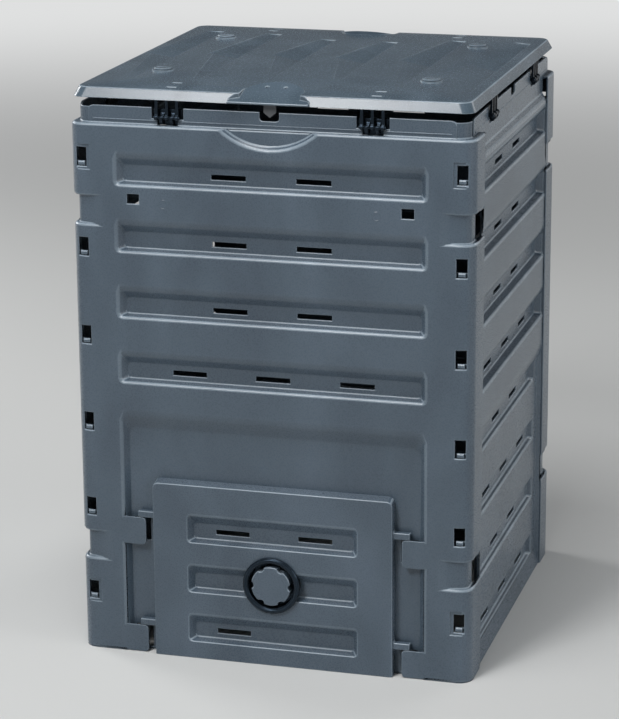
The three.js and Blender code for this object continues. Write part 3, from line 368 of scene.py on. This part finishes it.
def paintEdgeHighlights(bm, look):
    # Faces that the bevel made have material 1. The narrow convex ones get a painted highlight,
    # stronger as they face up, and the creases that face up get a painted highlight too
    highlightMask = bm.faces.layers.float.new("paintedEdgeHighlight")
    bm.normal_update()
    for face in bm.faces:
        if face.material_index == 0:
            continue
        middle = face.calc_center_median()
        lift = sum((other.calc_center_median() - middle).normalized().dot(face.normal)
                   for edge in face.edges for other in edge.link_faces if other is not face)
        breadth = face.calc_area() / max(edge.calc_length() for edge in face.edges)
        narrow = (look["broad"] * mm - breadth) / (look["fades"] * mm)
        narrow = min(max(narrow, look["least"]), 1.0)
        if lift < 0:
            facesUp = min(max(face.normal.z * look["upGain"], 0.0), 1.0)
            face[highlightMask] = narrow * (look["upright"] + (1 - look["upright"]) * facesUp)
        elif face.normal.z > look["creaseHighlightSlope"]:
            face[highlightMask] = narrow * look["creaseHighlight"]


def bakedMesh(obj):
    graph = bpy.context.evaluated_depsgraph_get()
    return bpy.data.meshes.new_from_object(obj.evaluated_get(graph), depsgraph=graph)


def newObject(name, content):
    obj = bpy.data.objects.new(name, content)
    bpy.context.scene.collection.objects.link(obj)
    return obj


def finishPiece(obj, body, slotName, nodes):
    for polygon in obj.data.polygons:
        polygon.material_index = 0
    obj.data.materials.clear()
    obj.data.materials.append(finishes[slotName])
    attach(obj, body)
    if nodes:
        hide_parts(*nodes)


def mergedSolids(nodes, radii):
    bm = bmesh.new()
    for node in nodes:
        bm.from_mesh(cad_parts[node].data)
    bmesh.ops.remove_doubles(bm, verts=bm.verts[:], dist=radii["weld"] * mm)
    bmesh.ops.dissolve_degenerate(bm, dist=radii["weld"] * mm, edges=bm.edges[:])
    bmesh.ops.dissolve_limit(bm, angle_limit=math.radians(radii["coplanar"]),
                             verts=bm.verts[:], edges=bm.edges[:])
    return bm


def mouldedPiece(name, nodes, body, slotName, **changes):
    radii = dict(mouldRadii, **changes)
    bm = mergedSolids(nodes, radii)
    box = [[pick(vert.co[axis] for vert in bm.verts) for axis in range(3)] for pick in (min, max)]
    widest = markRadii(bm, radii)
    bmesh.ops.triangulate(bm, faces=[face for face in bm.faces if len(face.verts) > 4])
    mesh = bpy.data.meshes.new(name)
    bm.to_mesh(mesh)
    bm.free()
    for _ in range(2):  # the second one marks what the bevel makes
        mesh.materials.append(finishes[slotName])
    obj = newObject(name, mesh)
    bevel = obj.modifiers.new("radii", "BEVEL")
    bevel.width = widest
    bevel.limit_method = "WEIGHT"
    bevel.offset_type = "OFFSET"
    bevel.segments = radii["segments"]
    bevel.use_clamp_overlap = False
    bevel.loop_slide = False
    bevel.material = 1
    obj.data = bakedMesh(obj)
    obj.modifiers.clear()
    bm = bmesh.new()
    bm.from_mesh(obj.data)
    # painted highlight on the bevel's faces
    paintEdgeHighlights(bm, edgeHighlightPaint)
    for face in bm.faces:
        face.smooth = True
    for vert in bm.verts:  # no corner of the bevel leaves the box of its solids
        vert.co = [min(max(at, low), high) for at, low, high in zip(vert.co, *box)]
    bm.to_mesh(obj.data)
    bm.free()
    normals = obj.modifiers.new("normals", "WEIGHTED_NORMAL")
    normals.keep_sharp = True
    obj.data = bakedMesh(obj)
    obj.modifiers.clear()
    finishPiece(obj, body, slotName, nodes)
    print("moulded", name, len(obj.data.polygons), "faces")


def sideNames(stem):
    return [f"{stem}_{side}_{letter}" for side in ("front", "right", "rear", "left")
            for letter in "ab"]


mouldedPieces = {  # with each one's own radii, in mm
    "frontWall": {"nodes": ["front_wall"], "body": "bin", "slotName": "wall_plastic"},
    "rearWall": {"nodes": ["rear_wall"], "body": "bin", "slotName": "wall_plastic"},
    "rightWall": {"nodes": ["right_wall"], "body": "bin", "slotName": "wall_plastic"},
    "leftWall": {"nodes": ["left_wall"], "body": "bin", "slotName": "wall_plastic"},
    "lidShell": {
        "nodes": ["lid"], "body": "lid", "slotName": "lid_plastic",
        "crisp": 1.6, "corner": 0.8, "crease": 0.6, "soft": 1.8},
    "lidPlugs": {
        "nodes": [f"lid_plug_{end}_{side}" for end in ("front", "rear")
                  for side in ("left", "right")],
        "body": "lid", "slotName": "lid_plastic", "crisp": 0.5, "corner": 0.4, "soft": 0.5},
    "hatchPanel": {
        "nodes": ["hatch"], "body": "hatch", "slotName": "wall_plastic", "crisp": 1.5, "soft": 3},
    "knobRing": {
        "nodes": ["knob_collar"], "body": "hatch", "slotName": "black_trim",
        "crisp": 1.2, "soft": 2},
    "starKnob": {
        "nodes": ["hatch_knob"], "body": "knob", "slotName": "wall_plastic",
        "crisp": 1.4, "soft": 1.4},
    "lockingArm": {
        "nodes": ["lock_arm"], "body": "knob", "slotName": "black_trim",
        "crisp": 0.8, "soft": 0.8},
    "armKeeper": {
        "nodes": ["knob_spindle", "spindle_clip"], "body": "knob", "slotName": "black_trim",
        "crisp": 0.5, "soft": 0.5},
    "hingeClips": {
        "nodes": sideNames("hinge_clip"), "body": "bin", "slotName": "black_trim",
        "crisp": 0.6, "soft": 0.6},
    "hingeBrackets": {
        "nodes": sideNames("hinge_bracket"), "body": "lid", "slotName": "black_trim",
        "crisp": 0.6, "soft": 0.6},
    "latchTongues": {
        "nodes": ["latch_tongue_front", "latch_tongue_rear"], "body": "lid",
        "slotName": "tongue_plastic", "crisp": 0.7, "soft": 0.7},
}
for name, piece in mouldedPieces.items():
    mouldedPiece(name, **piece)


# Turned pieces: a profile swept round an axis by one node tree, then set out in rows

turnedDetail = {
    "merge": 0.004,  # mm
    "sharpAngle": 40,  # degrees
}


def curveOf(mapping, stations):
    curve = mapping.curves[0]
    for index, (place, value) in enumerate(stations):
        if index < 2:  # a new curve has two points
            curve.points[index].location = (place, value)
        else:
            curve.points.new(place, value)
    for point in curve.points:
        point.handle_type = "VECTOR"
    mapping.update()


def turnedTree(name, profile, material):
    # profile: (radius, height) pairs in mm from the foot's middle to the top's middle
    tree = bpy.data.node_groups.new(name, "GeometryNodeTree")
    face = tree.interface
    face.new_socket("Geometry", in_out="OUTPUT", socket_type="NodeSocketGeometry")
    sockets = {}
    wanted = [("around", "NodeSocketInt", 32), ("count", "NodeSocketInt", 1),
              ("quarterTurns", "NodeSocketInt", 1), ("pitch", "NodeSocketFloat", 0.0),
              ("tilt", "NodeSocketVector", (0, 0, 0)), ("middle", "NodeSocketVector", (0, 0, 0)),
              ("centre", "NodeSocketVector", (0, 0, 0))]
    for label, kind, value in wanted:
        socket = face.new_socket(label, in_out="INPUT", socket_type=kind)
        socket.default_value = value
        sockets[label] = socket.identifier
    given = put(tree, "NodeGroupInput").outputs
    widest = max(radius for radius, _ in profile)
    lowest = min(height for _, height in profile)
    tall = max(height for _, height in profile) - lowest
    last = len(profile) - 1

    # A unit grid: x runs along the profile and y round the axis
    rings = put(tree, "ShaderNodeMath", {0: given["around"], 1: 1.0}, operation="ADD").outputs[0]
    grid = put(tree, "GeometryNodeMeshGrid", {
        "Size X": 1.0, "Size Y": 1.0, "Vertices X": last + 1, "Vertices Y": rings})
    spot = put(tree, "GeometryNodeInputPosition").outputs[0]
    split = put(tree, "ShaderNodeSeparateXYZ", {0: spot}).outputs
    along = put(tree, "ShaderNodeMath", {0: split[0], 1: 0.5}, operation="ADD").outputs[0]
    angle = put(tree, "ShaderNodeMath", {0: split[1], 1: math.tau}, operation="MULTIPLY").outputs[0]
    radiusCurve = put(tree, "ShaderNodeFloatCurve", {"Value": along})
    curveOf(radiusCurve.mapping, [(i / last, r / widest) for i, (r, _) in enumerate(profile)])
    heightCurve = put(tree, "ShaderNodeFloatCurve", {"Value": along})
    curveOf(heightCurve.mapping,
            [(i / last, (h - lowest) / tall) for i, (_, h) in enumerate(profile)])
    radius = put(tree, "ShaderNodeMath", {0: radiusCurve.outputs[0], 1: widest * mm},
                 operation="MULTIPLY").outputs[0]
    height = put(tree, "ShaderNodeMath", {
        0: heightCurve.outputs[0], 1: tall * mm, 2: lowest * mm},
        operation="MULTIPLY_ADD").outputs[0]
    cosine = put(tree, "ShaderNodeMath", {0: angle}, operation="COSINE").outputs[0]
    sine = put(tree, "ShaderNodeMath", {0: angle}, operation="SINE").outputs[0]
    across = put(tree, "ShaderNodeMath", {0: cosine, 1: radius}, operation="MULTIPLY").outputs[0]
    deep = put(tree, "ShaderNodeMath", {0: sine, 1: radius}, operation="MULTIPLY").outputs[0]
    swept = put(tree, "ShaderNodeCombineXYZ", {0: across, 1: deep, 2: height}).outputs[0]
    skin = put(tree, "GeometryNodeSetPosition", {
        "Geometry": grid.outputs[0], "Position": swept}).outputs[0]
    closed = put(tree, "GeometryNodeMergeByDistance", {
        "Geometry": skin, "Distance": turnedDetail["merge"] * mm}).outputs[0]
    closed = put(tree, "GeometryNodeFlipFaces", {"Mesh": closed}).outputs[0]

    # A row along x about the middle, then copies a quarter turn apart about the centre
    index = put(tree, "GeometryNodeInputIndex").outputs[0]
    half = put(tree, "ShaderNodeMath", {0: given["count"], 1: 0.5, 2: -0.5},
               operation="MULTIPLY_ADD").outputs[0]
    step = put(tree, "ShaderNodeMath", {0: index, 1: half}, operation="SUBTRACT").outputs[0]
    step = put(tree, "ShaderNodeMath", {0: step, 1: given["pitch"]},
               operation="MULTIPLY").outputs[0]
    offset = put(tree, "ShaderNodeCombineXYZ", {0: step}).outputs[0]
    seat = put(tree, "ShaderNodeVectorMath", {0: offset, 1: given["middle"]},
               operation="ADD").outputs[0]
    points = put(tree, "GeometryNodePoints", {
        "Count": given["count"], "Position": seat}).outputs[0]
    placed = put(tree, "GeometryNodeInstanceOnPoints", {
        "Points": points, "Instance": closed, "Rotation": given["tilt"]}).outputs[0]
    corners = put(tree, "GeometryNodePoints", {
        "Count": given["quarterTurns"], "Position": given["centre"]}).outputs[0]
    turn = put(tree, "ShaderNodeMath", {0: index, 1: math.pi / 2}, operation="MULTIPLY").outputs[0]
    turns = put(tree, "ShaderNodeCombineXYZ", {2: turn}).outputs[0]
    ringed = put(tree, "GeometryNodeInstanceOnPoints", {
        "Points": corners, "Instance": placed, "Rotation": turns}).outputs[0]
    real = put(tree, "GeometryNodeRealizeInstances", {"Geometry": ringed}).outputs[0]
    painted = put(tree, "GeometryNodeSetMaterial", {
        "Geometry": real, "Material": material}).outputs[0]
    put(tree, "NodeGroupOutput", {0: painted})
    return tree, sockets


def smoothByAngle(mesh, limit):
    bm = bmesh.new()
    bm.from_mesh(mesh)
    for face in bm.faces:
        face.smooth = True
    for edge in bm.edges:
        if len(edge.link_faces) == 2 and math.degrees(edge.calc_face_angle(0)) > limit:
            edge.smooth = False
    bm.to_mesh(mesh)
    bm.free()


def turnedPieces(name, profile, body, slotName, nodes, **inputs):
    tree, sockets = turnedTree(name + "Tree", profile, finishes[slotName])
    obj = newObject(name, bpy.data.meshes.new(name))
    modifier = obj.modifiers.new("turned", "NODES")
    modifier.node_group = tree
    for label, value in inputs.items():
        modifier[sockets[label]] = value
    obj.data = bakedMesh(obj)
    obj.modifiers.clear()
    smoothByAngle(obj.data, turnedDetail["sharpAngle"])
    finishPiece(obj, body, slotName, nodes)
    print("turned", name, len(obj.data.polygons), "faces")


hingeRod = {  # mm
    "radius": 3,
    "halfLength": 23,
    "endRound": 1,
    "groove": 0.5,  # the rod is necked beside each lug
    "grooveHalf": 0.5,
    "grooveOff": 0.6,  # from the lug
    "endClear": 2,  # no groove nearer to the end
    "lugPlaces": (-18, 0, 18),
    "lugHalf": 3.4,
    "spacing": 353.5,
    "out": 345,
    "height": 957,
    "around": 20,  # faces
}


def rodProfile(rod):
    full, end, bevel = rod["radius"], rod["halfLength"], rod["endRound"]
    profile = [(0, -end), (full - bevel, -end), (full, -end + bevel)]
    for place in rod["lugPlaces"]:
        for side in (-1, 1):
            ring = place + side * (rod["lugHalf"] + rod["grooveOff"])
            if abs(ring) < end - rod["endClear"]:
                profile += [(full, ring - rod["grooveHalf"]), (full - rod["groove"], ring),
                            (full, ring + rod["grooveHalf"])]
    return profile + [(full, end - bevel), (full - bevel, end), (0, end)]


turnedPieces(
    "hingeRods", rodProfile(hingeRod), "lid", "black_trim", sideNames("hinge_rod"),
    around=hingeRod["around"], count=2, quarterTurns=4, pitch=hingeRod["spacing"] * mm,
    tilt=(0, math.pi / 2, 0), middle=(0, -hingeRod["out"] * mm, hingeRod["height"] * mm),
    centre=tuple(bodyMiddle * mm))

# Small marks of the tool on the front wall: a low ring round each ejector pin
pinMark = {  # mm
    "radius": 7.2,
    "width": 1.5,
    "proud": 0.35,
    "sunk": 0.4,
    "spacing": 370,
    "height": 810,
    "fieldHeight": 365,
    "fieldDepth": 16,  # behind the wall's face
    "around": 28,  # faces
}


def ringProfile(mark):
    inner, outer = (mark["radius"] + side * mark["width"] / 2 for side in (-1, 1))
    return [(inner, -mark["sunk"]), (inner, 0), (mark["radius"], mark["proud"]),
            (outer, 0), (outer, -mark["sunk"]), (inner, -mark["sunk"])]


for name, height, depth in (("ejectorRings", pinMark["height"], 0),
                            ("fieldRings", pinMark["fieldHeight"], pinMark["fieldDepth"])):
    turnedPieces(
        name, ringProfile(pinMark), "bin", "wall_plastic", [],
        around=pinMark["around"], count=2, pitch=pinMark["spacing"] * mm,
        tilt=(math.pi / 2, 0, 0),
        middle=(0, (depth - bodyHalf + bodyMiddle.y) * mm, height * mm))

# Studio

lamps = {  # places and sizes in metres, power in watts
    "keyLight": {"at": (-1.25, -3.8, 3.9), "size": 1.3, "power": 116},
    "topLight": {"at": (-0.2, -1.4, 4.3), "size": 1.6, "power": 78},
    "sideLight": {"at": (4.4, -1.0, 1.8), "size": 2.0, "power": 62},
    "rimLight": {"at": (2.6, 3.6, 2.6), "size": 2.4, "power": 40},
    "rakeLight": {"at": (-4.0, 1.6, 2.0), "size": 1.6, "power": 80},  # draws out the lid's flutes
}
lampAim = (0, 0, 0.6)  # m
skyLook = {
    "low": "#D6D8DA",
    "high": "#5C6166",
    "riseFrom": 0.06,  # height of the view's direction where the low tone starts to pass
    "riseTo": 0.4,
    "strength": 0.25,
}


def softbox(name, lamp):
    light = bpy.data.lights.new(name, "AREA")
    light.shape = "SQUARE"
    light.size = lamp["size"]
    light.energy = lamp["power"]
    holder = newObject(name, light)
    holder.location = lamp["at"]
    aim = Vector(lampAim) - Vector(lamp["at"])
    holder.rotation_euler = aim.to_track_quat("-Z", "Y").to_euler()


def makeSky(look):
    world = bpy.data.worlds.new("studioSky")
    bpy.context.scene.world = world
    world.use_nodes = True
    sky = world.node_tree
    sky.nodes.clear()
    direction = put(sky, "ShaderNodeTexCoord").outputs["Generated"]
    climb = put(sky, "ShaderNodeSeparateXYZ", {0: direction}).outputs[2]
    climb = put(sky, "ShaderNodeMapRange", {
        "Value": climb, "From Min": look["riseFrom"], "From Max": look["riseTo"]},
        interpolation_type="SMOOTHSTEP").outputs[0]
    tone = put(sky, "ShaderNodeMix", {0: climb, 6: linear(look["low"]),
                                      7: linear(look["high"])}, data_type="RGBA").outputs[2]
    glow = put(sky, "ShaderNodeBackground", {"Color": tone, "Strength": look["strength"]})
    put(sky, "ShaderNodeOutputWorld", {"Surface": glow.outputs[0]})


def layFloor(look):
    half = look["size"] / 2
    corners = [(-half, -half, 0), (half, -half, 0), (half, half, 0), (-half, half, 0)]
    mesh = bpy.data.meshes.new("studioFloor")
    mesh.from_pydata(corners, [], [(0, 1, 2, 3)])
    mesh.materials.append(floorPaint)
    newObject("studioFloor", mesh)


for name, lamp in lamps.items():
    softbox(name, lamp)
makeSky(skyLook)
layFloor(floorLook)
print("studio set")

photoView = {
    "place": (1.2577, -4.5391, 1.8001),  # m
    "yaw": 15.82,  # degrees
    "pitch": 15.905,
    "roll": -0.40,
    "lens": 135.19,  # mm
    "sensor": 36,  # mm
}


def setCamera(look):
    yaw, pitch, roll = (math.radians(look[key]) for key in ("yaw", "pitch", "roll"))
    ahead = Vector((-math.sin(yaw) * math.cos(pitch), math.cos(yaw) * math.cos(pitch),
                    -math.sin(pitch)))
    right = Vector((math.cos(yaw), math.sin(yaw), 0))
    up = right.cross(ahead)
    across = math.cos(roll) * right + math.sin(roll) * up
    upward = math.cos(roll) * up - math.sin(roll) * right
    camera = bpy.data.cameras.new("photoCamera")
    camera.lens = look["lens"]
    camera.sensor_width = look["sensor"]
    holder = newObject("photoCamera", camera)
    turn = Matrix((across, upward, -ahead)).transposed().to_4x4()
    holder.matrix_world = Matrix.Translation(look["place"]) @ turn
    bpy.context.scene.camera = holder


setCamera(photoView)
bpy.context.scene.view_settings.view_transform = "Standard"
print("camera set")
